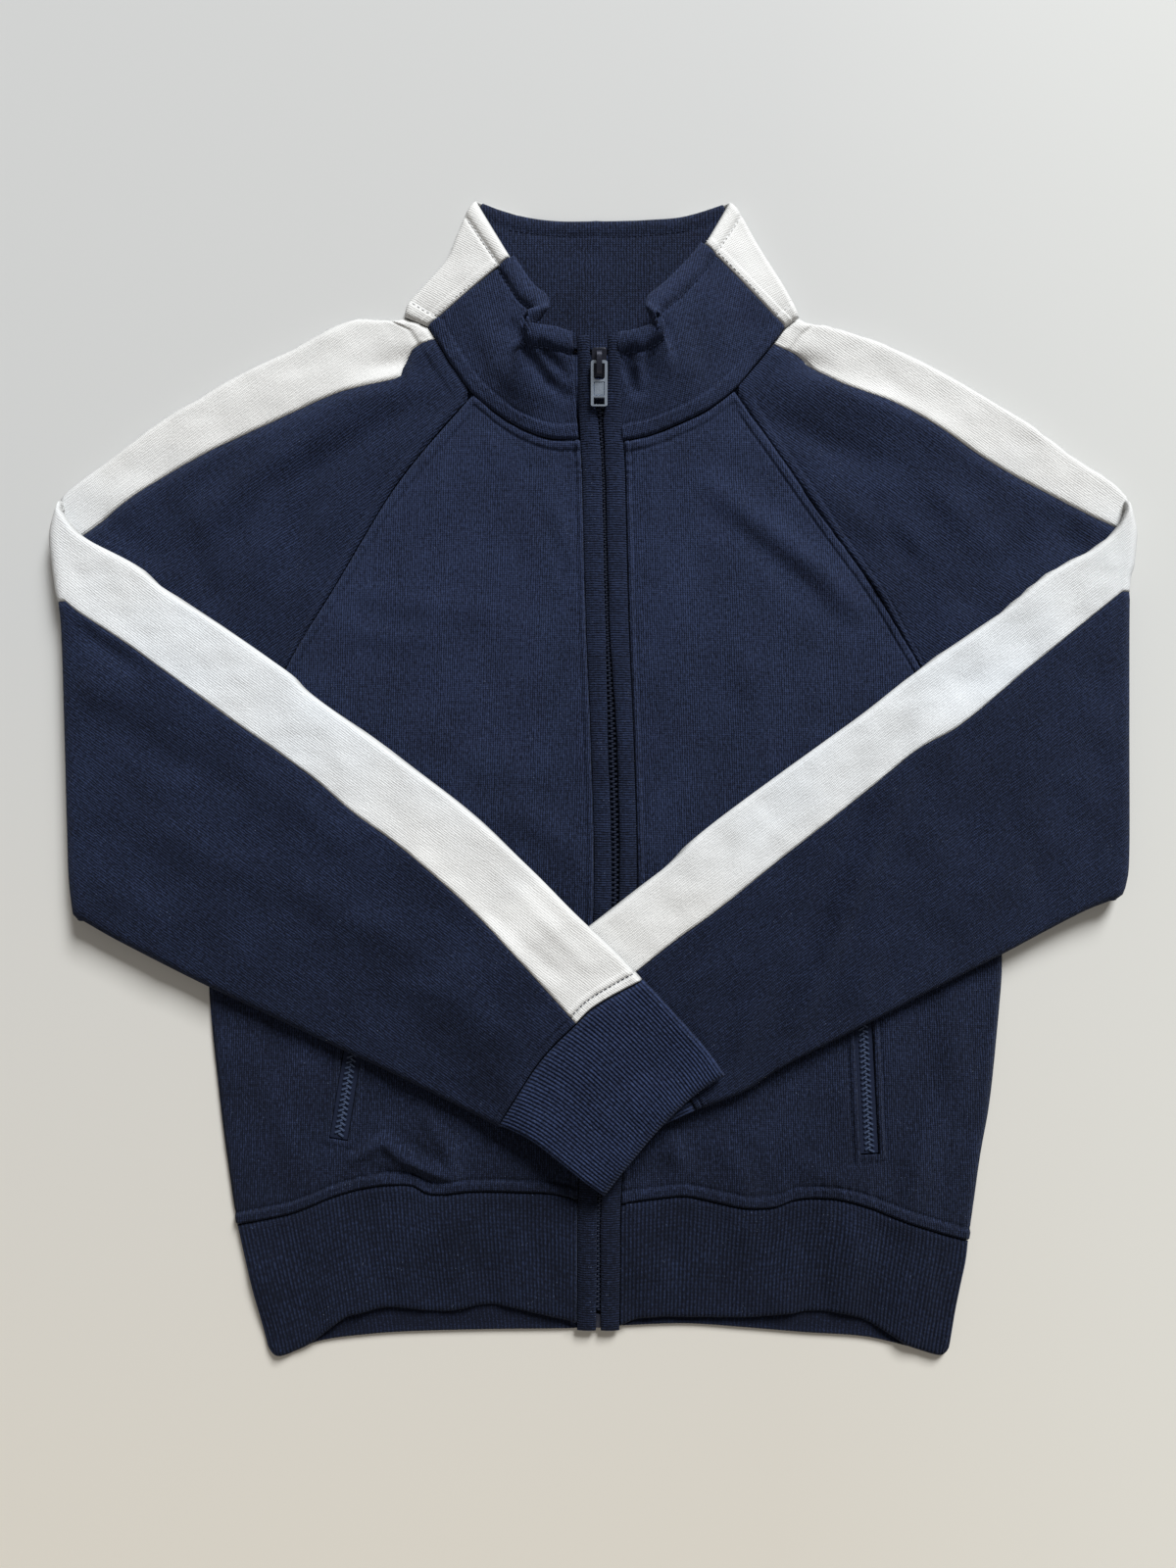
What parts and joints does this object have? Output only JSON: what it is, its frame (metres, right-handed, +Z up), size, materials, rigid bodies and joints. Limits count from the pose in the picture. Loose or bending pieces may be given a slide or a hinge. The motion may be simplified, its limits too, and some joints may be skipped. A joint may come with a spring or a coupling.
{
  "type": "zip-up sweatshirt",
  "caption": "Zip-up track sweatshirt lying flat with its long sleeves folded across the front, with a standing collar, rib cuffs and hem, and a full front zip.",
  "frame": {"origin": "on the table under the middle of the garment's outline", "axes": "+X to the wearer's left, +Y towards the collar, +Z up from the table through the front"},
  "size_m": [0.5772, 0.62, 0.0223],
  "materials": {
    "navy_knit": "matte brushed knit",
    "navy_rib": "matte rib knit",
    "navy_binding": "matte fine rib",
    "white_knit": "matte brushed knit",
    "zip_tape": "woven tape",
    "zip_teeth": "satin",
    "pull_metal": "satin",
    "dark_metal": "satin"
  },
  "bodies": {
    "garment": {"back_body": "navy_knit", "collar_back": "navy_knit", "collar_front_left": "navy_knit", "collar_front_right": "navy_knit", "collar_inside": "navy_knit", "collar_stripe_left": "white_knit", "collar_stripe_right": "white_knit", "cuff_left": "navy_rib", "cuff_right": "navy_rib", "front_left": "navy_knit", "front_right": "navy_knit", "hem_rib": "navy_rib", "placket_left": "navy_binding", "placket_right": "navy_binding", "pocket_slider_left": "dark_metal", "pocket_slider_right": "dark_metal", "pocket_zip_left": "zip_tape", "pocket_zip_right": "zip_tape", "sleeve_back_left": "navy_knit", "sleeve_back_right": "navy_knit", "sleeve_front_left": "navy_knit", "sleeve_front_right": "navy_knit", "sleeve_stripe_left": "white_knit", "sleeve_stripe_right": "white_knit", "zip_box": "dark_metal", "zip_chain": "zip_teeth", "zip_slider": "dark_metal", "zip_tape_left": "zip_tape", "zip_tape_right": "zip_tape"},
    "pull_tab": {"zip_pull": "pull_metal"}
  },
  "joints": [
    {"name": "pull_tab_hinge", "type": "hinge", "parent": "garment", "child": "pull_tab", "pos_m": [0.00311, 0.2182, 0.01718], "axis": [-1, 0, 0], "range_deg": [0, 150]}
  ]
}
